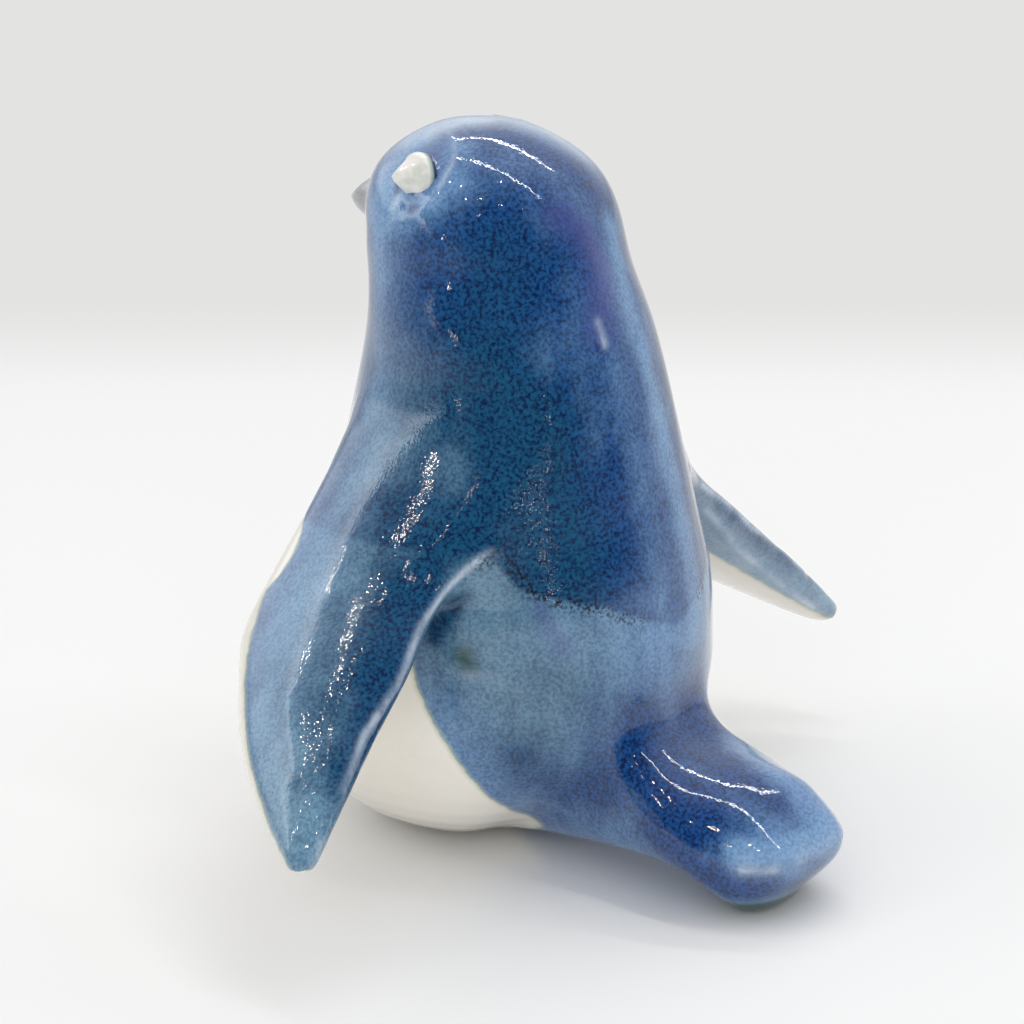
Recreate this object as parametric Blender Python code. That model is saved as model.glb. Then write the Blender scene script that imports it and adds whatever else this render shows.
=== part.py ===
"""Ceramic penguin sculpture, modelled as the one piece that comes out of the kiln.

Metres, +Z up. The bird faces -Y, its left wing reaches to +X and its tail to +Y.
The origin is on the table, in the flat of the foot.

The skin is a coarse cage of quads. Rings of points climb the body from the belly to
the crown, and the wings, the tail and the beak grow out of patches of those rings.
The cage is fitted so that its subdivision surface passes through the drawn points.
"""

import math
from collections import namedtuple

import bmesh
import bpy
from mathutils import Matrix, Vector

Section = namedtuple("Section", "height half_width half_depth set_back")

# Body, from the table up. A positive set_back lies towards the tail.
BELLY = Section(height=0.036, half_width=0.0475, half_depth=0.0480, set_back=0.0150)
WAIST = Section(height=0.058, half_width=0.0460, half_depth=0.0465, set_back=0.0170)
SHOULDER = Section(height=0.081, half_width=0.0420, half_depth=0.0425, set_back=0.0170)
NECK = Section(height=0.122, half_width=0.0322, half_depth=0.0322, set_back=0.0165)
HEAD = Section(height=0.1450, half_width=0.0285, half_depth=0.0290, set_back=0.0115)
CROWN_HEIGHT = 0.1665
CROWN_SET_BACK = 0.0080
FOOT_SET_BACK = 0.0030
FOOT_TRIM = 0.0012  # how much of the round belly the flat foot takes off

# Wings, flippers that droop from the shoulder and sweep back to a round tip
WING_SPAN = 0.204  # between the middles of the two tips
LEFT_TIP_HEIGHT = 0.0300
RIGHT_TIP_HEIGHT = 0.0275  # modelled by hand, so it droops a little more
WING_TIP_SET_BACK = 0.0418
WING_ROOT_DEPTH = 0.004  # how far the middle of the root lies inside the flank
WING_ROOT_FORWARD = 0.0046
WING_ROOT_CHORD = 0.050
WING_TIP_CHORD = 0.0045
WING_TAPER = 2.3  # above 1 the chord holds its width for longer before it narrows
WING_ROOT_THICKNESS = 0.0185
WING_TIP_THICKNESS = 0.006
WING_SWEEP = 2.05  # above 1 the sweep comes late, near the tip
WING_TOE_IN = math.radians(8)
WING_PITCH = math.radians(10)

# Tail, a thick lobe that runs back from the belly and rests on its underside
TAIL_LENGTH = 0.0405
TAIL_ROOT_WIDTH = 0.047
TAIL_END_WIDTH = 0.033
TAIL_ROOT_TOP = 0.0335
TAIL_END_TOP = 0.0255
TAIL_ARCH = 0.025  # how far the underside rises towards the belly
TAIL_ARCH_FADE = 4  # above 1 the underside comes down sooner
TAIL_TRIM = 0.0018  # how much of its round underside the flat foot takes off
TAIL_ROUNDING = 0.007
TAIL_END_LIFT = 0.004  # how much further than that the underside rises at the end

# Beak, a short blunt cone on the front of the head
BEAK_LENGTH = 0.0125
BEAK_RADIUS = 0.0078
BEAK_DROP = 0.001
BEAK_PROFILE = ((0.0, 1.0), (0.45, 0.66), (0.88, 0.23))  # shares of length and radius

# Eyes, pointed pellets of clay pressed on to the sides of the head
EYE_RADIUS = 0.0046
EYE_PROUD = 0.0050
EYE_ROOT = 0.003  # how deep the pellet is seated below its own rim
EYE_FLANK = ((1.0, 0.0), (0.64, 0.40), (0.38, 0.72), (0.17, 1.0))  # shares of radius and height
EYE_BEARING = math.radians(87)
LEFT_EYE_RISE = math.radians(35)
RIGHT_EYE_RISE = math.radians(25)  # pressed on by hand, so it sits a little lower
EYE_TURN = math.radians(68)
EYE_LIFT = math.radians(2)

# Firing vent in the foot, as deep as the wall of the casting
VENT_DIAMETER = 0.007
VENT_DEPTH = 0.005
VENT_SET_BACK = 0.0045  # behind the middle of the foot

# Glaze, as it looks over most of the bird
GLAZE_BLUE = (0.072, 0.171, 0.314, 1.0)
GLAZE_ROUGHNESS = 0.08

# Fineness of the cage and of the turned shapes
COLUMNS = 14
WING_COLUMNS = (2, 3, 4, 5)  # those the left wing grows from, counted from the beak
RINGS_PER_SPAN = 2
DOME_RISES = (math.radians(32), math.radians(64))
WING_PLACES = (0.22, 0.42, 0.62, 0.82, 0.96)
TAIL_PLACES = (0.25, 0.65, 0.93)
SUBDIVISIONS = 2
FIT_ROUNDS = 4
TURNED_SIDES = 20
SLAB_SIZE = 0.4
SLAB_THICKNESS = 0.05


def mirrored(section, widest):
    """The like section as far off on the other side of a widest section."""
    return section._replace(height=2 * widest.height - section.height)


def spline(points, place):
    """Section at place on the smooth curve that runs through the sections in turn."""
    padded = [mirrored(points[1], points[0])] + points + [mirrored(points[-2], points[-1])]
    span = min(int(place), len(points) - 2)
    part = place - span
    before, start, end, after = padded[span:span + 4]
    values = []
    for a, b, c, d in zip(before, start, end, after):
        bend = 2 * a - 5 * b + 4 * c - d
        swing = 3 * (b - c) + d - a
        values.append(b + 0.5 * part * (c - a + part * (bend + part * swing)))
    return Section(*values)


def dome(section, tip_height, tip_set_back, rise):
    """Section at an angle of rise from a widest section towards the tip that closes it."""
    shrink = math.cos(rise)
    climb = math.sin(rise)
    height = section.height + (tip_height - section.height) * climb
    set_back = section.set_back + (tip_set_back - section.set_back) * climb
    return Section(height, section.half_width * shrink, section.half_depth * shrink, set_back)


def body_sections():
    """Sections of the body, from the one next to the foot to the one next to the crown."""
    flank = [BELLY, WAIST, SHOULDER, NECK, HEAD]
    steps = (len(flank) - 1) * RINGS_PER_SPAN
    under = [dome(BELLY, -FOOT_TRIM, FOOT_SET_BACK, rise) for rise in reversed(DOME_RISES)]
    sides = [spline(flank, i / RINGS_PER_SPAN) for i in range(steps + 1)]
    over = [dome(HEAD, CROWN_HEIGHT, CROWN_SET_BACK, rise) for rise in DOME_RISES]
    return under + sides + over


def on_section(section, bearing):
    """Point on a section, at a bearing turned from the beak towards the left wing."""
    x = section.half_width * math.sin(bearing)
    y = section.set_back - section.half_depth * math.cos(bearing)
    return Vector((x, y, section.height))


def add_body(bm):
    """Rings of the body, closed by a pole under the foot and one at the crown."""
    bearings = [math.tau * j / COLUMNS for j in range(COLUMNS)]
    rings = []
    for section in body_sections():
        rings.append([bm.verts.new(on_section(section, bearing)) for bearing in bearings])
    foot = bm.verts.new((0, FOOT_SET_BACK, -FOOT_TRIM))
    crown = bm.verts.new((0, CROWN_SET_BACK, CROWN_HEIGHT))
    for j in range(COLUMNS):
        k = (j + 1) % COLUMNS
        bm.faces.new((foot, rings[0][k], rings[0][j]))
        for lower, upper in zip(rings, rings[1:]):
            bm.faces.new((lower[j], lower[k], upper[k], upper[j]))
        bm.faces.new((crown, rings[-1][j], rings[-1][k]))
    return rings


def patch_of(rings, middle_ring, columns):
    """Grid of the skin's points, three rings high, over the given columns."""
    return [[rings[middle_ring + r][c % COLUMNS] for c in columns] for r in (-1, 0, 1)]


def rim(grid):
    """Outer loop of a grid given as rows, in order round it."""
    right = [row[-1] for row in grid[1:-1]]
    left = [row[0] for row in reversed(grid[1:-1])]
    return list(grid[0]) + right + list(reversed(grid[-1])) + left


def oval_grid(centre, across, up, columns, bulge):
    """Three rows of points with an oval rim; bulge moves the middle row off the oval's plane."""
    cells = rim([[(r, c) for c in range(columns)] for r in range(3)])
    start = cells.index((1, columns - 1))
    grid = [[None] * columns for _ in range(3)]
    for i, (r, c) in enumerate(cells):
        angle = math.tau * (i - start) / len(cells)
        grid[r][c] = centre + across * math.cos(angle) + up * math.sin(angle)
    for c in range(1, columns - 1):
        share = 2 * c / (columns - 1) - 1
        grid[1][c] = centre + across * share + bulge
    return grid


def grow(bm, patch, stations):
    """Replace a patch of the skin by a limb that runs through like grids of points."""
    corners = {vert for row in patch for vert in row}
    inside = patch[1][1:-1]
    covered = {face for vert in inside for face in vert.link_faces if set(face.verts) <= corners}
    bmesh.ops.delete(bm, geom=list(covered), context="FACES_ONLY")
    bmesh.ops.delete(bm, geom=inside, context="VERTS")
    loop = rim(patch)
    for station in stations:
        outer = [bm.verts.new(point) for point in rim(station)]
        for i in range(len(outer)):
            k = (i + 1) % len(outer)
            bm.faces.new((loop[i], loop[k], outer[k], outer[i]))
        loop = outer
    columns = len(stations[-1][0])
    middle = [bm.verts.new(point) for point in stations[-1][1][1:-1]]
    bottom = loop[:columns]
    centre = [loop[-1]] + middle + [loop[columns]]
    top = loop[columns + 1:2 * columns + 1][::-1]
    for lower, upper in ((bottom, centre), (centre, top)):
        for c in range(columns - 1):
            bm.faces.new((lower[c], lower[c + 1], upper[c + 1], upper[c]))


def blend(start, end, share):
    """Value at a share of the way from start to end."""
    return start + (end - start) * share


def wing_stations(side):
    """Grids of points along a wing, from the shoulder to the tip; side is 1 for the left."""
    flank = on_section(SHOULDER, side * math.pi / 2)
    root = flank - Vector((side * WING_ROOT_DEPTH, WING_ROOT_FORWARD, 0))
    tip_height = LEFT_TIP_HEIGHT if side > 0 else RIGHT_TIP_HEIGHT
    tip = Vector((side * WING_SPAN / 2, WING_TIP_SET_BACK, tip_height))
    run = tip - root
    lengthwise = run.normalized()
    chord = Vector((-side * math.sin(WING_TOE_IN), math.cos(WING_TOE_IN), math.sin(WING_PITCH)))
    chord = (chord - chord.dot(lengthwise) * lengthwise).normalized()
    upward = side * lengthwise.cross(chord)
    stations = []
    for place in WING_PLACES:
        late_sweep = Vector((0, run.y * (place ** WING_SWEEP - place), 0))
        centre = root + run * place + late_sweep
        narrowing = place ** WING_TAPER
        across = chord * blend(WING_ROOT_CHORD, WING_TIP_CHORD, narrowing) / 2
        up = upward * blend(WING_ROOT_THICKNESS, WING_TIP_THICKNESS, narrowing) / 2
        stations.append(oval_grid(centre, across, up, len(WING_COLUMNS), run * (1 - place)))
    return stations


def tail_stations():
    """Grids of points along the tail, from the back to its round end."""
    root = BELLY.set_back + BELLY.half_depth
    stations = []
    for place in TAIL_PLACES:
        width = blend(TAIL_ROOT_WIDTH, TAIL_END_WIDTH, place)
        top = blend(TAIL_ROOT_TOP, TAIL_END_TOP, place)
        bottom = TAIL_ARCH * (1 - place) ** TAIL_ARCH_FADE - TAIL_TRIM
        if place == TAIL_PLACES[-1]:
            width -= TAIL_ROUNDING
            top -= TAIL_ROUNDING
            bottom += TAIL_ROUNDING + TAIL_END_LIFT
        centre = Vector((0, root + TAIL_LENGTH * place, (top + bottom) / 2))
        across = Vector((width / 2, 0, 0))
        up = Vector((0, 0, (top - bottom) / 2))
        bulge = Vector((0, TAIL_LENGTH * (1 - place), 0))
        stations.append(oval_grid(centre, across, up, 3, bulge))
    return stations


def beak_stations():
    """Grids of points along the beak, from the face to its blunt tip."""
    face = on_section(HEAD, 0)
    stations = []
    for place, wide in BEAK_PROFILE:
        radius = BEAK_RADIUS * wide
        centre = face - Vector((0, BEAK_LENGTH * place, BEAK_DROP * place))
        bulge = Vector((0, -BEAK_LENGTH * (1 - place), 0))
        stations.append(oval_grid(centre, Vector((radius, 0, 0)), Vector((0, 0, radius)), 3, bulge))
    return stations


def skin_cage():
    """The whole skin as one closed cage of quads."""
    bm = bmesh.new()
    rings = add_body(bm)
    hip = len(DOME_RISES) - 1
    shoulder = len(DOME_RISES) + 2 * RINGS_PER_SPAN
    head = len(DOME_RISES) + 4 * RINGS_PER_SPAN
    back = COLUMNS // 2
    for side in (1, -1):
        columns = [side * column for column in WING_COLUMNS]
        grow(bm, patch_of(rings, shoulder, columns), wing_stations(side))
    grow(bm, patch_of(rings, hip, (back + 1, back, back - 1)), tail_stations())
    grow(bm, patch_of(rings, head, (-1, 0, 1)), beak_stations())
    return bm


def settled(vert):
    """Where the subdivision surface comes to rest over a point of the cage."""
    valence = len(vert.link_edges)
    centres = {face: face.calc_center_median() for face in vert.link_faces}
    spokes = Vector()
    edge_points = Vector()
    for edge in vert.link_edges:
        ends = vert.co + edge.other_vert(vert).co
        spokes += ends / 2
        edge_points += (ends + sum((centres[face] for face in edge.link_faces), Vector())) / 4
    face_points = sum(centres.values(), Vector())
    moved = ((face_points + 2 * spokes) / valence + (valence - 3) * vert.co) / valence
    return (valence ** 2 * moved + 4 * edge_points + face_points) / (valence * (valence + 5))


def fit_cage(bm):
    """Push the cage out until its subdivision surface passes through the drawn points."""
    drawn = [vert.co.copy() for vert in bm.verts]
    for _ in range(FIT_ROUNDS):
        misses = [target - settled(vert) for vert, target in zip(bm.verts, drawn)]
        for vert, miss in zip(bm.verts, misses):
            vert.co += miss


def link_mesh(bm, name):
    """New object of the given name from a closed bmesh."""
    bmesh.ops.recalc_face_normals(bm, faces=bm.faces)
    mesh = bpy.data.meshes.new(name)
    bm.to_mesh(mesh)
    bm.free()
    item = bpy.data.objects.new(name, mesh)
    bpy.context.scene.collection.objects.link(item)
    return item


def eye_pellet(side):
    """Pellet turned round its own axis, with flanks that draw in to a blunt point."""
    rise = LEFT_EYE_RISE if side > 0 else RIGHT_EYE_RISE
    seat = on_section(dome(HEAD, CROWN_HEIGHT, CROWN_SET_BACK, rise), side * EYE_BEARING)
    level = math.cos(EYE_LIFT)
    outward = Vector((side * math.sin(EYE_TURN) * level, -math.cos(EYE_TURN) * level, math.sin(EYE_LIFT)))
    outline = [(EYE_RADIUS, -EYE_ROOT)]
    outline += [(EYE_RADIUS * wide, EYE_PROUD * high) for wide, high in EYE_FLANK]
    bm = bmesh.new()
    rings = []
    for radius, height in outline:
        turned = bmesh.ops.create_circle(bm, segments=TURNED_SIDES, radius=radius, cap_ends=False)
        bmesh.ops.translate(bm, vec=(0, 0, height), verts=turned["verts"])
        rings.append(turned["verts"])
    for lower, upper in zip(rings, rings[1:]):
        for i in range(TURNED_SIDES):
            k = (i + 1) % TURNED_SIDES
            bm.faces.new((lower[i], lower[k], upper[k], upper[i]))
    bm.faces.new(rings[0])
    bm.faces.new(rings[-1])
    for face in bm.faces:
        face.smooth = True
    placing = Matrix.Translation(seat) @ outward.to_track_quat("Z", "Y").to_matrix().to_4x4()
    bmesh.ops.transform(bm, matrix=placing, verts=bm.verts)
    return link_mesh(bm, "left_eye_pellet" if side > 0 else "right_eye_pellet")


def table_slab():
    """Slab that trims the underside flat at the table."""
    bm = bmesh.new()
    bmesh.ops.create_cube(bm, size=1.0)
    bmesh.ops.scale(bm, vec=(SLAB_SIZE, SLAB_SIZE, SLAB_THICKNESS), verts=bm.verts)
    bmesh.ops.translate(bm, vec=(0, 0, -SLAB_THICKNESS / 2), verts=bm.verts)
    return link_mesh(bm, "table_slab")


def vent_pin():
    """Pin that leaves the firing vent, run out below the foot."""
    bm = bmesh.new()
    radius = VENT_DIAMETER / 2
    bmesh.ops.create_cone(bm, cap_ends=True, segments=TURNED_SIDES, radius1=radius, radius2=radius,
                          depth=2 * VENT_DEPTH)
    bmesh.ops.translate(bm, vec=(0, FOOT_SET_BACK + VENT_SET_BACK, 0), verts=bm.verts)
    return link_mesh(bm, "vent_pin")


def combine(body, tool, operation):
    """Join a tool to the body or cut it out of it, and leave the tool out of the model."""
    step = body.modifiers.new(tool.name, "BOOLEAN")
    step.operation = operation
    step.solver = "EXACT"
    step.object = tool
    tool.hide_render = True
    tool.display_type = "WIRE"


def glaze():
    """Glossy blue glaze."""
    material = bpy.data.materials.new("blue_glaze")
    material.use_nodes = True
    shader = material.node_tree.nodes["Principled BSDF"]
    shader.inputs["Base Color"].default_value = GLAZE_BLUE
    shader.inputs["Roughness"].default_value = GLAZE_ROUGHNESS
    shader.inputs["Metallic"].default_value = 0.0
    return material


for item in list(bpy.data.objects):
    bpy.data.objects.remove(item, do_unlink=True)

cage = skin_cage()
fit_cage(cage)
penguin = link_mesh(cage, "penguin")
penguin.data.materials.append(glaze())
penguin.data.shade_smooth()
skin = penguin.modifiers.new("skin", "SUBSURF")
skin.levels = SUBDIVISIONS
skin.render_levels = SUBDIVISIONS
for side in (1, -1):
    combine(penguin, eye_pellet(side), "UNION")
combine(penguin, table_slab(), "DIFFERENCE")
combine(penguin, vent_pin(), "DIFFERENCE")
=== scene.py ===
"""Glazed ceramic penguin on a photographer's white sweep."""

import math

import bmesh
import bpy
import numpy as np
from mathutils import Matrix, Vector


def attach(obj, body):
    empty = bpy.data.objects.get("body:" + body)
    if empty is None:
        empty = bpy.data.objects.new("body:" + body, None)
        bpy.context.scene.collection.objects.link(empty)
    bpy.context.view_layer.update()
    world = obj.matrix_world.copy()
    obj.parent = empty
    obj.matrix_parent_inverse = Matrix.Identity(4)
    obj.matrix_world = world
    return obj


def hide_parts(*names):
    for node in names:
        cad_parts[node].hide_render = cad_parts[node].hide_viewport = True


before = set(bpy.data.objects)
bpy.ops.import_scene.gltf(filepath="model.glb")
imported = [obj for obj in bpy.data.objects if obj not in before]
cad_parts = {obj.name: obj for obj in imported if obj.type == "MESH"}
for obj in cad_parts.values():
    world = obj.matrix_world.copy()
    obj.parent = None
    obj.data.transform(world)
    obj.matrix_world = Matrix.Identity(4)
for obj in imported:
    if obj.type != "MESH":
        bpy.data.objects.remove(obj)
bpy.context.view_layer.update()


# Bird
#
# One slip-cast stoneware shell with its wings, tail and beak, smoothed by hand before firing.
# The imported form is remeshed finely, then given the ridges, dents and glaze lips of the real one.

def near_line(where, line, width):
    """Nearness of points to a line through 3-D points in mm: 1 on it, fading over the width."""
    gap = np.full(len(where), np.inf)
    for start, end in zip(line, line[1:]):
        start = np.array(start) / 1000
        along = np.array(end) / 1000 - start
        share = np.clip((where - start) @ along / (along @ along), 0, 1)
        gap = np.minimum(gap, np.linalg.norm(where - start - share[:, None] * along, axis=1))
    return np.exp(-(gap * 1000 / width) ** 2)


VOXEL = 0.00095

clay = bmesh.new()
clay.from_mesh(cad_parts["penguin"].data)
bmesh.ops.remove_doubles(clay, verts=clay.verts, dist=1e-6)
cast = bpy.data.meshes.new("cast")
clay.to_mesh(cast)
clay.free()
bird = bpy.data.objects.new("glazed_penguin", cast)
bpy.context.scene.collection.objects.link(bird)
remesh = bird.modifiers.new("fine", "REMESH")
remesh.mode = "VOXEL"
remesh.voxel_size = VOXEL
skin = bpy.data.meshes.new_from_object(bird.evaluated_get(bpy.context.evaluated_depsgraph_get()))
bird.modifiers.clear()
bird.data = skin
skin.shade_smooth()

points = np.empty(len(skin.vertices) * 3, dtype=np.float32)
skin.vertices.foreach_get("co", points)
points = points.reshape(-1, 3).astype(float)
ends = np.empty(len(skin.edges) * 2, dtype=np.int32)
skin.edges.foreach_get("vertices", ends)
first, second = ends.reshape(-1, 2).T
beside = np.bincount(ends, minlength=len(points))[:, None]

# A few passes take out the voxel steps and spare the beak. Many more soften the root of the tail
# and its end, which were wiped with a wet sponge.
off_beak = 1 - np.clip((-0.0175 - points[:, 1:2]) / 0.005, 0, 0.85)
passes = [off_beak] * 6
SPONGED = [(-12, 63, 38), (12, 63, 38)], [(-11, 97, 19), (11, 97, 19)]
for place in (SPONGED):
    passes += [near_line(points, place, 9.0)[:, None]] * 50
for weight in passes:
    around = np.stack([np.bincount(first, points[second, k], len(points))
                       + np.bincount(second, points[first, k], len(points)) for k in range(3)], axis=1)
    points += 0.5 * weight * (around / beside - points)
skin.vertices.foreach_set("co", points.astype(np.float32).ravel())
skin.update()
normals = np.empty(len(skin.vertices) * 3, dtype=np.float32)
skin.vertices.foreach_get("normal", normals)
normals = normals.reshape(-1, 3).astype(float)

# Both sides get the same marks, so most are placed on the left half and mirrored. Lines are in mm
# and so are the amounts by which the surface rises along them.
half = np.stack([np.abs(points[:, 0]), points[:, 1], points[:, 2]], axis=1)
TRAILING_RIM = [(38, 41, 82), (42, 38, 79), (47, 36.5, 75.5), (57.5, 37, 69), (67, 39, 60), (79, 39.5, 52),
                (88, 41.3, 43.5)]
FAR_WING_RIM = [(-51.8, 35.5, 67.6), (-65.3, 36.6, 53.8), (-82.5, 39, 39.7), (-92, 41.3, 32.5)]
WING_FOLD = [(80, 20.5, 56.5), (86.4, 27.4, 50.7), (91, 32, 46.5)]
FACE_RIDGE = [(9, 5, 165), (13, 11, 164), (15.7, 13.6, 162.4), (17.6, 15, 161), (20.3, 15.8, 159.2),
              (22.5, 16, 157.4), (24, 15.5, 155.6)]
CHEEK_RIDGE = [(25.5, 15.5, 153), (27.6, 11, 149.6), (27.5, 5, 147)]
TAIL_EDGE = [(17, 72, 28), (19.5, 78, 24), (20.5, 84, 20.5), (19.5, 90, 18.5), (17, 96, 17.5), (11, 100.5, 18)]
TAIL_LIP = [(17.3, 93.5, 14.6), (13.5, 99, 15), (7.5, 101.6, 15.6), (0, 102, 15.8)]
lift = (
    0.32 * near_line(half, FACE_RIDGE, 1.2)
    + 0.25 * near_line(half, CHEEK_RIDGE, 1.2)
    - 0.45 * near_line(half, [(22.5, 13.4, 152.3), (26.8, 9, 151)], 2.2)
    + 0.70 * near_line(half, TRAILING_RIM, 2.0)
    - 0.60 * near_line(half, [(45, 32.5, 80.5), (52, 31, 75), (60, 32.5, 68.5), (78, 36, 52)], 4.0)
    + 0.45 * near_line(half, [(48, 12, 88), (62, 13, 70), (82, 21, 53)], 7.0)
    - 0.70 * near_line(half, [(101.2, 42.2, 33.6), (99, 40.5, 35)], 1.8)
    + 0.45 * near_line(half, [(99.7, 43.6, 31), (97, 43.4, 35.5), (92, 41.5, 41)], 1.6)
    - 0.50 * near_line(points, [(12, 52, 108), (15, 57, 84)], 8.0)
    + 0.50 * near_line(points, [(2, 44, 132), (5, 55, 96)], 8.0)
    + 0.30 * near_line(half, TAIL_EDGE, 4.0)
    - 0.60 * near_line(points, [(-3, 68, 33), (3, 82, 30), (3, 93, 26)], 8.0)
    + 1.30 * near_line(points, [(-9, 93, 24.5), (-7.5, 99, 21)], 6.5)
    + 0.50 * near_line(half, [(0, 103.3, 9), (9, 102.4, 9)], 4.5)
    - 1.40 * near_line(points, [(23.6, 8.1, 157.3), (28.5, 6.3, 157.6)], 5.2)
    - 1.40 * near_line(points, [(-26.0, 8.5, 154.1), (-31, 6.7, 154.4)], 5.2)
    + 0.40 * near_line(half, WING_FOLD, 2.5)
    + 0.45 * near_line(points, FAR_WING_RIM, 1.5)
    + 0.30 * near_line(half, TAIL_LIP, 1.2)
    + 0.45 * near_line(points, [(42, 34, 56), (39, 40, 54.5), (34, 46, 50)], 1.8)
) / 1000

# Under the tail the glaze stopped in a thick lip just above the foot. The foot itself stays flat.
lift += 0.0005 * np.clip(1 - np.abs(points[:, 2] - 0.0022) / 0.0018, 0, 1) * (points[:, 1] > 0.078)
points += normals * (lift * np.clip(points[:, 2] / 0.0008, 0, 1))[:, None]
skin.vertices.foreach_set("co", points.astype(np.float32).ravel())
skin.update()


# Where the glazes lie. Each is one number per point: cream is the distance in mm inside the
# cream, the others are shares. The blue runs thick in hollows and thin over edges. A few pale marks
# are painted: highlights along the wing rims and reflections on the crown, the shoulder and the far wing.

SWEEP_LATE = 2.05


def wing_place(where, side):
    """Share of the way to the wing tip, distance in mm behind the middle of the wing, its half
    width in mm, and the direction out of its upper face."""
    root = np.array([side * 0.038, 0.0124, 0.081])
    run = np.array([side * 0.064, 0.0294, -0.0510 if side > 0 else -0.0535])
    length = np.linalg.norm(run)
    steps = np.linspace(-0.6, 1.3, 96)
    late = np.abs(steps) ** SWEEP_LATE - steps
    along = steps * length + run[1] ** 2 * late / length
    share = np.interp((where - root) @ run / length, along, steps)
    centre = root + share[:, None] * run
    centre[:, 1] += run[1] * (np.abs(share) ** SWEEP_LATE - share)
    chord = np.array([side * -0.139, 0.990, 0.174])
    chord -= run * (chord @ run) / length ** 2
    upward = np.cross(run, chord) * side
    upward /= np.linalg.norm(upward)
    behind = (where - centre) @ chord * 1000
    above = (where - centre) @ upward * 1000
    return share, behind, 25 - 22.8 * np.clip(share, 0, 1) ** 2.3, above, upward


# The border of the cream on the body: its bearing from the front, in degrees, at each height in mm.
x, y, z = points.T
bearing = np.degrees(np.arctan2(np.abs(x), 0.015 - y))
heights = [0, 10.8, 13.6, 19.7, 25.3, 32.4, 39.6, 46, 51, 62, 72, 80, 88, 98, 128, 135, 142, 148, 153.5]
bearings = [150, 146, 134, 126, 121, 116, 111, 106, 103, 100, 90, 74, 54, 37, 29, 36, 47, 50, -25]
levels = np.arange(-12, 172)
spread = np.exp(-(np.arange(-9, 10) / 3.5) ** 2)
border = np.pad(np.interp(levels, heights, bearings), 9, "edge")
border = np.convolve(border, spread / spread.sum(), "valid")
inside = np.radians(np.interp(z * 1000, levels, border) - bearing)
cream = inside * np.hypot(x, y - 0.015) * 1000

# On a wing the cream takes the front edge and most of the underside.
for side in (1, -1):
    share, behind, reach, above, upward = wing_place(points, side)
    edge = np.where(normals @ upward > -0.1, -0.80, 0.42 + 0.25 * share)
    wing = edge * reach - behind
    belongs = np.clip(share / 0.22, 0, 1) * np.clip((above + 14) / 4, 0, 1)
    belongs *= side * x > 0.030
    cream = cream * (1 - belongs) + wing * belongs

# The thick upper blue ends in a hem across the hips, below the arms.
hem = np.interp(bearing, [118, 122, 126, 132, 143, 154, 166, 180], [83, 81.5, 79, 73, 70.4, 68.2, 63.5, 59])
over_hem = np.clip((z * 1000 - hem) / 1.2 + 0.5, 0, 1)

half = np.stack([np.abs(x), y, z], axis=1)
EYE_RING = [(25.9 + 1.9 * math.cos(t), 8.6 + 4.9 * math.cos(t), 155.8 + 5.3 * math.sin(t))
            for t in np.linspace(0, math.tau, 25)]
CROWN = [(11, 1, 164.3), (5, 5.4, 166.3), (-3.5, 10, 166.3), (-9.5, 17, 164.2), (-14, 25, 160)]
CROWN_BAND = [(11.5, 3.5, 164.5), (9.1, 12.5, 165.2), (4.7, 20.1, 164.4), (-0.4, 30, 159.7), (-6, 37, 152)]
BACK_DEPTH = [(22, 31, 141.6), (26, 31.3, 129.2), (27.5, 35.2, 117), (24, 43, 108.5),
              (30.2, 42.8, 92), (25.5, 50.1, 81)]
ARMPIT = [(38.8, 38.6, 84.3), (47, 34.2, 81), (55.5, 32.8, 74), (63, 34.8, 67.7), (69, 36.5, 62)]
TAIL_ROOT = [(10, 64, 34.5), (15.2, 65.5, 31.5), (17, 71.4, 27.4), (18.3, 80.5, 22.5)]
BACK_RUN = [(-6.2, 40, 144.4), (-5.5, 45, 129.6), (-5.6, 49.8, 116.7), (-6.8, 53.2, 103.3),
            (-7.9, 57, 87.5), (-9.7, 60.5, 71), (-8, 63, 55)]
UNDER_HEM = [(40, 36, 72), (37.6, 43.1, 63), (28.9, 52.8, 62), (14, 61, 57)]
deep = (
    over_hem * (0.40 + 0.65 * near_line(half, BACK_DEPTH, 13.0)
                + 0.4 * near_line(half, [(15, 53, 95), (19, 56, 78)], 9.0))
    + 0.9 * near_line(half, ARMPIT, 5.5)
    + 0.6 * near_line(half, [(71, 39, 57.7), (82.6, 38.9, 50), (90, 39.9, 44)], 3.5)
    + 1.1 * near_line(half, TAIL_ROOT, 9.0)
    + 0.6 * near_line(half, [(34.6, 46.2, 34), (22, 47.8, 23), (19.4, 56.9, 24.4)], 7.0)
    + 0.30 * near_line(half, [(28, 50, 50), (16, 60, 46)], 14.0)
    + 0.5 * near_line(points, CROWN_BAND, 3.5)
    + 1.0 * near_line(half, [(20, 74, 19), (19, 82, 13), (17, 90, 10.5), (12, 97, 10.5), (0, 100, 10)], 4.0)
    + 0.8 * near_line(half, EYE_RING, 1.0)
    + 0.9 * near_line(points, [(-2.2, 68.8, 32.4), (4.2, 82.6, 29.7), (3.3, 92.6, 26.1)], 4.5)
    + 0.9 * near_line(half, [(40.9, 36, 72.5), (40.7, 33.1, 68.9), (42.5, 31.8, 66), (44, 29.3, 61.8)], 2.2)
    + 0.5 * near_line(points, [(-48.2, 36.1, 75.9), (-62.6, 38.2, 62.6), (-81.5, 40.9, 45.2)], 2.5)
    + 0.35 * near_line(half, [(45, 26, 90), (58, 28, 74), (74, 30, 60), (84, 33, 52), (92, 36.5, 45)], 8.0)
)
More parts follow.
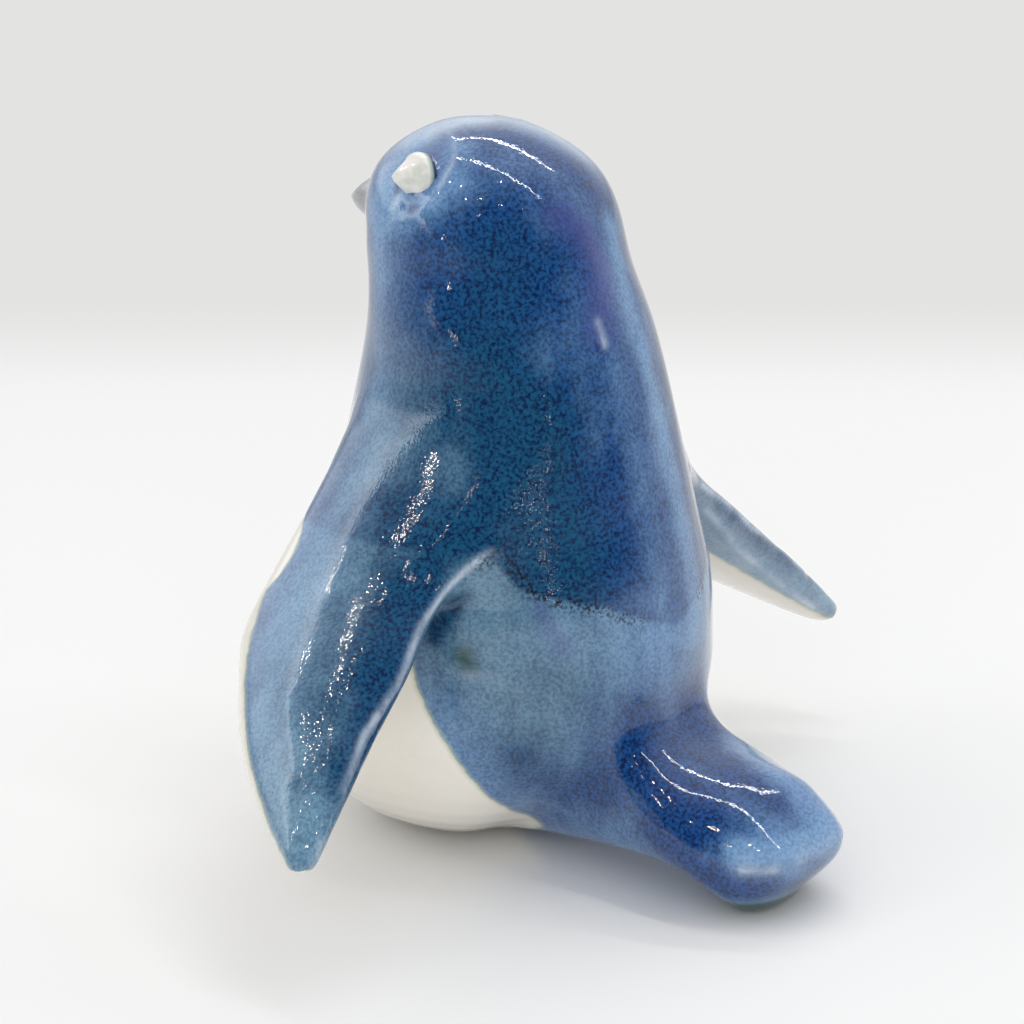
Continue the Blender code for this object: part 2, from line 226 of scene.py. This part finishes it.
pale_glaze_and_painted_reflection = (
    # Painted reflection: the pale cap on the crown, over thin glaze.
    1.3 * near_line(points, CROWN, 3.8)
    + 0.5 * near_line(half, [(24, 16, 153), (21, 18, 157)], 4.0)
    # Pale glaze on the far wing, and a painted reflection on it.
    + 0.5 * near_line(points, [(-50, 34, 68), (-65, 35, 53), (-82, 38, 39)], 7.0)
    + 0.7 * near_line(half, [(25.5, 1.8, 151.5), (27.5, 10.5, 149.6), (25.7, 14.7, 153)], 6.0)
    + 0.4 * near_line(half, [(15.7, 13.6, 162.4), (22, 13, 160)], 3.0)
    + 0.6 * near_line(half, [(14, 2, 163), (21, -1, 158), (24, 1, 151)], 6.0)
    + 0.6 * near_line(half, [(27, 1.2, 143.8), (28.6, 3, 130), (29, 2.7, 118.5), (31.4, 2.3, 107.5)], 5.5)
    + 0.7 * near_line(points, BACK_RUN, 4.5)
    + (1 - over_hem) * 0.35 * near_line(half, UNDER_HEM, 9.0)
    + 0.8 * near_line(points, [(-14.2, 71.6, 29.3), (-6.8, 89.9, 26.7), (-7.6, 97.5, 21.3)], 6.5)
    + 0.9 * near_line(half, [(17, 92, 18), (12, 99, 18.5), (4.8, 101.5, 18.5), (-4, 102.5, 17)], 2.8)
    + 0.5 * near_line(half, [(81, 13, 54.4), (88, 20, 48.2), (94.3, 28.4, 42.3), (99.5, 36, 36)], 4.5)
    # Thin glaze over the shoulder, and a painted reflection band on it.
    + 0.45 * near_line(half, [(34, 8, 104), (40, 7, 92), (54, 8, 77), (70, 12, 64)], 5.5)
    + 0.5 * near_line(half, [(92, 38, 44), (98, 41.5, 36)], 4.0)
    + 0.4 * near_line(half, WING_FOLD, 2.2)
)
thin_glaze_and_painted_highlight = (
    # Thin glaze on the rim, and a painted highlight along it.
    0.9 * near_line(half, TRAILING_RIM, 0.8)
    # Painted reflection on the crown, as above.
    + 0.70 * near_line(points, CROWN, 7.0)
    + 0.25 * near_line(half, [(17, 95, 16), (9, 101, 15), (-4, 102.5, 15)], 4.0)
    # Painted reflection on the far wing, over thin glaze.
    + 0.45 * near_line(points, [(-50, 34, 68), (-65, 35, 53), (-82, 38, 39), (-94, 41, 32)], 7.0)
    + 0.5 * near_line(half, FACE_RIDGE, 0.6)
    + 0.25 * near_line(half, CHEEK_RIDGE, 0.6)
    # Thin glaze on the far wing's rim, and a painted highlight along it.
    + 0.8 * near_line(points, FAR_WING_RIM, 0.8)
    + 0.7 * near_line(half, [(25.8, 5.5, 152.9), (26.7, 4.8, 150.3)], 0.8)
    + 0.7 * near_line(points, [(6.9, 45.8, 127.2), (6.9, 47.7, 122.4)], 0.9)
    + 0.6 * near_line(half, [(99.7, 43.6, 31), (97, 43.4, 35.5)], 1.0)
    + 0.5 * near_line(points, [(41, 37, 54.4), (38, 41, 53.6), (34, 46, 50)], 1.3)
    + 0.6 * near_line(half, TAIL_LIP, 0.8)
)
marks = {
    "cream": cream,
    "depth": deep - pale_glaze_and_painted_reflection,
    "thin_glaze_and_painted_highlight": thin_glaze_and_painted_highlight,
    "teal": near_line(half, [(36, 20, 104), (46, 24, 88), (64, 26, 69), (88, 34, 46), (98, 40, 36)], 22.0)
    + 0.8 * near_line(half, [(38, 40, 70), (40, 36, 60), (34, 46, 50)], 12.0)
    + 0.6 * near_line(half, [(29, 44, 98), (27, 50, 76), (24, 55, 58), (30, 49, 38)], 14.0)
    + 0.6 * near_line(half, BACK_DEPTH, 12.0),
    "violet": 0.8 * near_line(points, [(8.9, 37, 150), (3.9, 40, 145), (1.2, 42.2, 138), (4, 44.5, 131),
                                       (7.3, 46.4, 125.6)], 4.2)
    + 0.6 * near_line(half, [(17.7, 8.2, 161.6), (22.2, 12.7, 160), (24.1, 12.8, 157)], 2.5)
    + 0.5 * near_line(points, [(31, 48, 69), (28, 53, 60)], 2.5)
    + 0.3 * near_line(points, [(-10, 85, 27), (-5, 95, 24)], 5.0),
    "green": near_line(points, [(41.9, 36.2, 58.2), (41.2, 37, 56.4)], 2.4)
    + np.clip((0.0052 - z) / 0.0012, 0, 1) * (y > 0.076),
    "hem": near_line(half, [(39.8, 38.8, 79), (35.5, 41.5, 80.4), (32.8, 44.8, 76.6), (32, 46.9, 72.5),
                            (27.7, 51.8, 69.8), (20.5, 57.2, 67.4), (11.3, 61.4, 63)], 1.3),
    "beak": np.clip((-0.0185 - y) / 0.003, 0, 1) * (np.abs(z - 0.145) < 0.013),
}
for name, values in marks.items():
    layer = skin.attributes.new(name, "FLOAT", "POINT")
    most = 50 if name == "cream" else 1
    layer.data.foreach_set("value", np.clip(values, -most, most).astype(np.float32))


# Stoneware under a running blue glaze and a cream one. The glass coat is mirror smooth with a
# faint orange peel; the blue breaks into millimetre cells of teal in a navy net, with a crackle.

def srgb(code):
    """Linear colour with alpha from a hex code such as #2d517d."""
    channels = [int(code[i:i + 2], 16) / 255 for i in (1, 3, 5)]
    linear = [c / 12.92 if c <= 0.04045 else ((c + 0.055) / 1.055) ** 2.4 for c in channels]
    return (*linear, 1.0)


def add(tree, kind, inputs, output=0, **settings):
    """Add a node with its settings, values and links, and return one of its outputs."""
    made = tree.nodes.new(kind)
    for name, value in settings.items():
        setattr(made, name, value)
    for name, value in inputs.items():
        if isinstance(value, bpy.types.NodeSocket):
            tree.links.new(value, made.inputs[name])
        else:
            made.inputs[name].default_value = value
    return made.outputs[output]


MIX = {"data_type": "RGBA", "output": 2}
SMOOTH = {"interpolation_type": "SMOOTHSTEP"}

glaze = bpy.data.materials.new("running_blue_over_cream_glaze")
glaze.use_nodes = True
tree = glaze.node_tree
shader = tree.nodes["Principled BSDF"]
place = add(tree, "ShaderNodeTexCoord", {}, "Object")
mark = {name: add(tree, "ShaderNodeAttribute", {}, "Fac", attribute_name=name) for name in marks}
clouds = add(tree, "ShaderNodeTexNoise", {"Vector": place, "Scale": 1 / 0.022, "Detail": 4.0})
drifts = add(tree, "ShaderNodeTexNoise", {"Vector": place, "Scale": 1 / 0.006, "Detail": 5.0,
                                          "Roughness": 0.6})
cells = add(tree, "ShaderNodeTexNoise", {"Vector": place, "Scale": 1 / 0.0008, "Detail": 2.0,
                                         "Roughness": 0.55})

# The glaze ran down while molten, so its pools are drawn out downwards.
hung = add(tree, "ShaderNodeVectorMath", {0: place, 1: (1.0, 1.0, 0.2)}, operation="MULTIPLY")
runs = add(tree, "ShaderNodeTexNoise", {"Vector": hung, "Scale": 1 / 0.008, "Detail": 3.0})
pooled = add(tree, "ShaderNodeMath", {0: runs, 1: 0.60, 2: -0.30}, operation="MULTIPLY_ADD")
pooled = add(tree, "ShaderNodeMath", {0: clouds, 1: 0.60, 2: pooled}, operation="MULTIPLY_ADD")
pooled = add(tree, "ShaderNodeMath", {0: drifts, 1: 0.35, 2: pooled}, operation="MULTIPLY_ADD")
# The depth mark is low where pale marks paint reflections, which draws the glaze pale there.
pooled = add(tree, "ShaderNodeMath", {0: mark["depth"], 1: 0.55, 2: pooled}, operation="MULTIPLY_ADD")
pooled = add(tree, "ShaderNodeMapRange", {"Value": pooled, "From Min": 0.10, "From Max": 0.95}, **SMOOTH)

# Thin glaze is pale and thick glaze is deep, both in the cells and in the navy net round them.
teal = add(tree, "ShaderNodeMix", {0: pooled, 6: srgb("#759bb2"), 7: srgb("#14547a")}, **MIX)
lilac = add(tree, "ShaderNodeMix", {0: pooled, 6: srgb("#7aa1ca"), 7: srgb("#1a4f92")}, **MIX)
light = add(tree, "ShaderNodeMix", {0: mark["teal"], 6: lilac, 7: teal}, **MIX)
navy = add(tree, "ShaderNodeMix", {0: mark["teal"], 6: srgb("#5c86b4"), 7: srgb("#577d9a")}, **MIX)
navy = add(tree, "ShaderNodeMix", {0: pooled, 6: navy, 7: srgb("#08204a")}, **MIX)
net = add(tree, "ShaderNodeMapRange", {"Value": cells, "From Min": 0.30, "From Max": 0.66}, **SMOOTH)
blue = add(tree, "ShaderNodeMix", {0: net, 6: navy, 7: light}, **MIX)
stain = add(tree, "ShaderNodeMath", {0: mark["violet"], 1: 0.75}, operation="MULTIPLY")
blue = add(tree, "ShaderNodeMix", {0: stain, 6: blue, 7: srgb("#4c4f90")}, **MIX)
# Thin glaze washes out pale; on the rims and the crown this is painted highlight as well.
washed_and_painted_highlight = add(tree, "ShaderNodeMapRange", {"Value": drifts, "From Min": 0.30, "From Max": 0.62,
                                          "To Min": 0.45}, **SMOOTH)
washed_and_painted_highlight = add(tree, "ShaderNodeMath", {0: washed_and_painted_highlight, 1: mark["thin_glaze_and_painted_highlight"]}, operation="MULTIPLY")
blue = add(tree, "ShaderNodeMix", {0: washed_and_painted_highlight, 6: blue, 7: srgb("#c3d2e2")}, **MIX)
specks = add(tree, "ShaderNodeMapRange", {"Value": cells, "From Min": 0.52, "From Max": 0.42}, **SMOOTH)
specks = add(tree, "ShaderNodeMath", {0: specks, 1: mark["hem"]}, operation="MULTIPLY")
blue = add(tree, "ShaderNodeMix", {0: specks, 6: blue, 7: srgb("#0a1424")}, **MIX)

# The border of the two glazes wanders by a millimetre, and they mix to a greenish fringe there.
wander = add(tree, "ShaderNodeMath", {0: drifts, 1: 2.4, 2: -1.2}, operation="MULTIPLY_ADD")
wander = add(tree, "ShaderNodeMath", {0: mark["cream"], 1: wander}, operation="ADD")
covers = add(tree, "ShaderNodeMapRange", {"Value": wander, "From Min": -0.4, "From Max": 0.4}, **SMOOTH)
fringe = add(tree, "ShaderNodeMath", {0: wander}, operation="ABSOLUTE")
fringe = add(tree, "ShaderNodeMapRange", {"Value": fringe, "From Min": 1.5, "From Max": 0.0,
                                          "To Max": 0.50}, **SMOOTH)
ivory = add(tree, "ShaderNodeMix", {0: clouds, 6: srgb("#f6f2e9"), 7: srgb("#ebe6da")}, **MIX)
colour = add(tree, "ShaderNodeMix", {0: covers, 6: blue, 7: ivory}, **MIX)
colour = add(tree, "ShaderNodeMix", {0: fringe, 6: colour, 7: srgb("#bcc3a6")}, **MIX)

# The crackle's cells are 8 mm wide. It hardly shows in the cream.
bent = add(tree, "ShaderNodeTexNoise", {"Vector": place, "Scale": 1 / 0.007}, "Color")
bent = add(tree, "ShaderNodeVectorMath", {0: bent, 1: (0.004, 0.004, 0.004), 2: place},
           operation="MULTIPLY_ADD")
crackle = add(tree, "ShaderNodeTexVoronoi", {"Vector": bent, "Scale": 1 / 0.008}, "Distance",
              feature="DISTANCE_TO_EDGE")
crackle = add(tree, "ShaderNodeMapRange", {"Value": crackle, "From Min": 0.0, "From Max": 0.02,
                                           "To Min": 0.20, "To Max": 0.0}, **SMOOTH)
hidden = add(tree, "ShaderNodeMapRange", {"Value": covers, "To Min": 1.0, "To Max": 0.12})
crackle = add(tree, "ShaderNodeMath", {0: crackle, 1: hidden}, operation="MULTIPLY")
colour = add(tree, "ShaderNodeMix", {0: crackle, 6: colour, 7: srgb("#0e2140")}, **MIX)
colour = add(tree, "ShaderNodeMix", {0: mark["green"], 6: colour, 7: srgb("#2b4f50")}, **MIX)
colour = add(tree, "ShaderNodeMix", {0: mark["beak"], 6: colour, 7: srgb("#96999d")}, **MIX)
tree.links.new(colour, shader.inputs["Base Color"])
shader.inputs["Roughness"].default_value = 0.35
shader.inputs["Specular IOR Level"].default_value = 0.08
shader.inputs["Coat Weight"].default_value = 1.0
shader.inputs["Coat Roughness"].default_value = 0.03
shader.inputs["Coat IOR"].default_value = 1.55

# Orange peel of 0.9 mm, a slow sway of 12 mm, and pits of 0.5 mm where the glaze is teal.
peel = add(tree, "ShaderNodeTexNoise", {"Vector": place, "Scale": 1 / 0.0009, "Detail": 1.0})
sway = add(tree, "ShaderNodeTexNoise", {"Vector": place, "Scale": 1 / 0.012, "Detail": 2.0})
pits = add(tree, "ShaderNodeTexNoise", {"Vector": place, "Scale": 1 / 0.0005, "Detail": 0.0})
relief = add(tree, "ShaderNodeMath", {0: pits, 1: mark["teal"]}, operation="MULTIPLY")
relief = add(tree, "ShaderNodeMath", {0: relief, 1: 0.000024}, operation="MULTIPLY")
relief = add(tree, "ShaderNodeMath", {0: peel, 1: 0.000022, 2: relief}, operation="MULTIPLY_ADD")
relief = add(tree, "ShaderNodeMath", {0: sway, 1: 0.00014, 2: relief}, operation="MULTIPLY_ADD")
bump = add(tree, "ShaderNodeBump", {"Height": relief, "Strength": 1.0, "Distance": 1.0})
tree.links.new(bump, shader.inputs["Normal"])
tree.links.new(bump, shader.inputs["Coat Normal"])
skin.materials.clear()
skin.materials.append(glaze)
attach(bird, "root")
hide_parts("penguin")


# Eyes
#
# Pointed pellets of white clay, pinched and pressed on by hand, so ridges run from the rim to
# the blunt point. A clear glaze over them looks faintly green where it pools at the rim.

def pellet(name, side, seat):
    """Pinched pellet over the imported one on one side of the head, its seat given in mm."""
    broad = 0.0046
    tall = 0.0050
    turn = math.radians(68)
    outward = Vector((side * math.sin(turn), -math.cos(turn), 0.035))
    around = 96
    outline = [(1.08, -0.60), (1.12, -0.20), (1.08, 0.02), (0.98, 0.16), (0.84, 0.30), (0.70, 0.45),
               (0.56, 0.60), (0.42, 0.75), (0.28, 0.90), (0.15, 1.01), (0.05, 1.06)]
    turned = bmesh.new()
    rings = []
    for wide, high in outline:
        pinch = 0.62 * min(1, max(0, high + 0.1) / 0.4)
        ring = []
        for i in range(around):
            angle = math.tau * i / around
            kite = 1.12 / (abs(math.cos(angle)) + abs(math.sin(angle)))
            fold = 1 + pinch * (kite - 1) + 0.012 * math.cos(5 * angle + 1)
            radius = broad * wide * fold
            where = (radius * math.cos(angle), radius * math.sin(angle), tall * high)
            ring.append(turned.verts.new(where))
        rings.append(ring)
    for lower, upper in zip(rings, rings[1:]):
        for i in range(around):
            k = (i + 1) % around
            turned.faces.new((lower[i], lower[k], upper[k], upper[i]))
    turned.faces.new(rings[0][::-1])
    turned.faces.new(rings[-1])
    feet = [min(1, max(0, 0.5 - (v.co.z + 0.0017) / 0.0012)) for v in turned.verts]
    placing = outward.to_track_quat("Z", "Y").to_matrix().to_4x4()
    placing.translation = Vector(seat) / 1000
    turned.transform(placing)
    mesh = bpy.data.meshes.new(name)
    turned.to_mesh(mesh)
    turned.free()
    mesh.shade_smooth()
    layer = mesh.attributes.new("foot", "FLOAT", "POINT")
    layer.data.foreach_set("value", feet)
    made = bpy.data.objects.new(name, mesh)
    bpy.context.scene.collection.objects.link(made)
    return made


clear = bpy.data.materials.new("clear_glazed_white_clay")
clear.use_nodes = True
tree = clear.node_tree
shader = tree.nodes["Principled BSDF"]
place = add(tree, "ShaderNodeTexCoord", {}, "Object")
pooled = add(tree, "ShaderNodeTexNoise", {"Vector": place, "Scale": 1 / 0.003})
pooled = add(tree, "ShaderNodeMapRange", {"Value": pooled, "From Min": 0.40, "From Max": 0.70}, **SMOOTH)
tint = add(tree, "ShaderNodeMix", {0: pooled, 6: srgb("#e9e8e2"), 7: srgb("#d3d6cb")}, **MIX)
foot = add(tree, "ShaderNodeAttribute", {}, "Fac", attribute_name="foot")
glassy = add(tree, "ShaderNodeMapRange", {"Value": foot, "From Min": 0.0, "From Max": 0.5}, **SMOOTH)
tint = add(tree, "ShaderNodeMix", {0: glassy, 6: tint, 7: srgb("#9fb2ab")}, **MIX)
edged = add(tree, "ShaderNodeMapRange", {"Value": foot, "From Min": 0.45, "From Max": 0.8}, **SMOOTH)
tint = add(tree, "ShaderNodeMix", {0: edged, 6: tint, 7: srgb("#1d3358")}, **MIX)
tree.links.new(tint, shader.inputs["Base Color"])
shader.inputs["Roughness"].default_value = 0.3
shader.inputs["Coat Weight"].default_value = 1.0
shader.inputs["Coat Roughness"].default_value = 0.05
for name, side, seat in (("left_eye_pellet", 1, (23.31, 8.25, 157.33)),
                         ("right_eye_pellet", -1, (-25.79, 8.65, 154.09))):
    eye = pellet(name, side, seat)
    eye.data.materials.append(clear)
    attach(eye, "root")


# Sweep
#
# A roll of white paper lies under the bird and runs on far behind it. The part behind is
# painted a little greyer, as painted shade where the light would fall off.

AIM = Vector((0, 0.017, 0.0764))
AZIMUTH = math.radians(128)
towards = Vector((math.sin(AZIMUTH), -math.cos(AZIMUTH), 0))
rightward = Vector((math.cos(AZIMUTH), math.sin(AZIMUTH), 0))
sheet = bmesh.new()
corners = []
FAR = 8
for away, across in ((-FAR, -FAR), (-FAR, FAR), (FAR, FAR), (FAR, -FAR)):
    corner = AIM - towards * away + rightward * across
    corners.append(sheet.verts.new((corner.x, corner.y, 0)))
sheet.faces.new(corners)
sheet.normal_update()
mesh = bpy.data.meshes.new("paper_sweep")
sheet.to_mesh(mesh)
sheet.free()
sweep = bpy.data.objects.new("paper_sweep", mesh)
bpy.context.scene.collection.objects.link(sweep)
paper = bpy.data.materials.new("matt_white_paper")
paper.use_nodes = True
tree = paper.node_tree
shader = tree.nodes["Principled BSDF"]
place = add(tree, "ShaderNodeTexCoord", {}, "Object")
behind = add(tree, "ShaderNodeVectorMath", {0: place, 1: -towards}, "Value", operation="DOT_PRODUCT")
behind = add(tree, "ShaderNodeMapRange", {"Value": behind, "From Min": 0.34, "From Max": 0.51}, **SMOOTH)

# The far part is painted shade: it glows one even grey, seen directly and in the glaze.
path = tree.nodes.new("ShaderNodeLightPath")
seen = add(tree, "ShaderNodeMath", {0: path.outputs["Is Camera Ray"], 1: path.outputs["Is Glossy Ray"]},
           operation="ADD")
seen = add(tree, "ShaderNodeMath", {0: seen, 1: path.outputs["Is Transmission Ray"]}, operation="ADD")
seen = add(tree, "ShaderNodeMath", {0: seen, 1: behind}, operation="MULTIPLY")
shaded = add(tree, "ShaderNodeEmission", {"Color": srgb("#e3e3e2")})
paper_or_shaded = add(tree, "ShaderNodeMixShader", {0: seen, 1: shader.outputs[0], 2: shaded})
tree.links.new(paper_or_shaded, tree.nodes["Material Output"].inputs["Surface"])
shader.inputs["Base Color"].default_value = srgb("#f4f4f4")
shader.inputs["Roughness"].default_value = 0.9
shader.inputs["Specular IOR Level"].default_value = 0.1
mesh.materials.append(paper)


# Light
#
# A white tent lights the bird from above and both sides, and doesn't show in the glaze. Two thin
# tubes overhead draw the streaks. Small warm lamps, seen only in the glaze, draw the sparks.

WARM = "#ffeee0"
LAMP_DISTANCE = 1.4


def panel(name, azimuth, elevation, width, height, power, colour="#ffffff", along=None):
    """Area light that faces the bird. Its azimuth, and that of its long side where this isn't
    level and square to it, are in degrees to the right of the camera."""
    data = bpy.data.lights.new(name, "AREA")
    data.shape = "RECTANGLE"
    data.size = width
    data.size_y = height
    data.energy = power
    data.color = srgb(colour)[:3]
    lamp = bpy.data.objects.new(name, data)
    bpy.context.scene.collection.objects.link(lamp)
    turn = AZIMUTH + math.radians(azimuth)
    rise = math.radians(elevation)
    way = Vector((math.sin(turn) * math.cos(rise), -math.cos(turn) * math.cos(rise), math.sin(rise)))
    side = AZIMUTH + math.radians(azimuth + 90 if along is None else along)
    side = Vector((math.sin(side), -math.cos(side), 0))
    side = (side - way * side.dot(way)).normalized()
    lamp.rotation_euler = Matrix((side, way.cross(side), way)).transposed().to_euler()
    lamp.location = AIM + way * LAMP_DISTANCE
    return lamp


panel("tent_top", 0, 68, 1.7, 1.7, 3.4).visible_glossy = False
panel("tent_right", 100, 30, 0.9, 0.9, 1.2).visible_glossy = False
panel("tent_left", -88, 38, 0.7, 0.7, 1.6).visible_glossy = False
panel("fill_front", -5, 24, 1.2, 0.6, 3.0).visible_glossy = False
panel("tube_top", 83, 76, 1.35, 0.034, 3.0, along=55)
panel("tube_back", 162, 57, 1.2, 0.034, 2.9)
for name, elevation in (("glint_a", 37), ("glint_b", 44.5), ("glint_c", 51)):
    panel(name, -63, elevation, 0.014, 0.055, 0.45, WARM).visible_diffuse = False
for name, azimuth, elevation, power in (("spark_a", -12, 56, 0.15), ("spark_b", 12, 51, 0.15),
                                        ("spark_c", 34, 45, 0.15), ("spark_d", -29, 54, 0.30),
                                        ("spark_e", -10, 38, 0.10), ("spark_f", 40, 79, 0.15),
                                        ("spark_g", 22, 9, 0.03), ("spark_h", -44, 11, 0.05),
                                        ("spark_i", -72, 61, 0.35), ("spark_j", -90, 62, 0.35),
                                        ("spark_k", -50, 67, 0.30), ("spark_l", -100, 46, 0.30)):
    panel(name, azimuth, elevation, 0.014, 0.014, power, WARM).visible_diffuse = False

# The white tent is all round for the clay. In the glaze there is a room, pale behind the bird and
# near the table, and dark in front.
world = bpy.data.worlds.new("tent")
bpy.context.scene.world = world
world.use_nodes = True
tree = world.node_tree
sky = tree.nodes["Background"]
way = add(tree, "ShaderNodeTexCoord", {}, "Generated")
ahead = add(tree, "ShaderNodeVectorMath", {0: way, 1: towards}, "Value", operation="DOT_PRODUCT")
aside = add(tree, "ShaderNodeVectorMath", {0: way, 1: -rightward}, "Value", operation="DOT_PRODUCT")
dim = add(tree, "ShaderNodeMapRange", {"Value": ahead, "From Min": -0.30, "From Max": 0.45}, **SMOOTH)
room = add(tree, "ShaderNodeMix", {0: dim, 6: srgb("#eef0f3"), 7: srgb("#1b1e23")}, **MIX)
height = add(tree, "ShaderNodeSeparateXYZ", {"Vector": way}, "Z")
low = add(tree, "ShaderNodeMapRange", {"Value": height, "From Min": 0.20, "From Max": 0.0}, **SMOOTH)
room = add(tree, "ShaderNodeMix", {0: low, 6: room, 7: srgb("#c4c6ca")}, **MIX)
mirrored = add(tree, "ShaderNodeLightPath", {}, "Is Glossy Ray")

# A tall white cloth hangs at the left. The glaze mirrors it as a milky veil, brightest at its edge.
slant = add(tree, "ShaderNodeVectorMath", {0: way, 1: towards * 0.8 + Vector((0, 0, 1))}, "Value",
            operation="DOT_PRODUCT")
cloth = add(tree, "ShaderNodeMapRange", {"Value": slant, "From Min": 0.61, "From Max": 0.55}, **SMOOTH)
for value, start, end, least in ((aside, 0.45, 0.62, 0.0), (height, 0.08, 0.24, 0.0),
                                 (slant, 0.20, 0.56, 0.35)):
    part = add(tree, "ShaderNodeMapRange", {"Value": value, "From Min": start, "From Max": end,
                                            "To Min": least}, **SMOOTH)
    cloth = add(tree, "ShaderNodeMath", {0: cloth, 1: part}, operation="MULTIPLY")
room = add(tree, "ShaderNodeMix", {0: cloth, 6: room, 7: srgb("#ffffff")}, **MIX)
shown = add(tree, "ShaderNodeMix", {0: mirrored, 6: srgb("#ffffff"), 7: room}, **MIX)
cloth = add(tree, "ShaderNodeMath", {0: cloth, 1: mirrored}, operation="MULTIPLY")
back = add(tree, "ShaderNodeMapRange", {"Value": dim, "To Min": 0.40, "To Max": 0.0})
back = add(tree, "ShaderNodeMath", {0: back, 1: mirrored, 2: 0.60}, operation="MULTIPLY_ADD")
level = add(tree, "ShaderNodeMath", {0: cloth, 1: 2.5, 2: back}, operation="MULTIPLY_ADD")
tree.links.new(shown, sky.inputs["Color"])
tree.links.new(level, sky.inputs["Strength"])


# Camera
#
# The photograph was taken from behind the bird's left shoulder, a little above it, with a short
# telephoto lens.

camera = bpy.data.objects.new("camera", bpy.data.cameras.new("camera"))
bpy.context.scene.collection.objects.link(camera)
camera.data.sensor_width = 36
camera.data.lens = 105.5
rise = math.radians(18)
way = towards * math.cos(rise) + Vector((0, 0, math.sin(rise)))
camera.location = AIM + way * 0.688
camera.rotation_euler = way.to_track_quat("Z", "Y").to_euler()
bpy.context.scene.camera = camera
bpy.context.scene.view_settings.view_transform = "Standard"
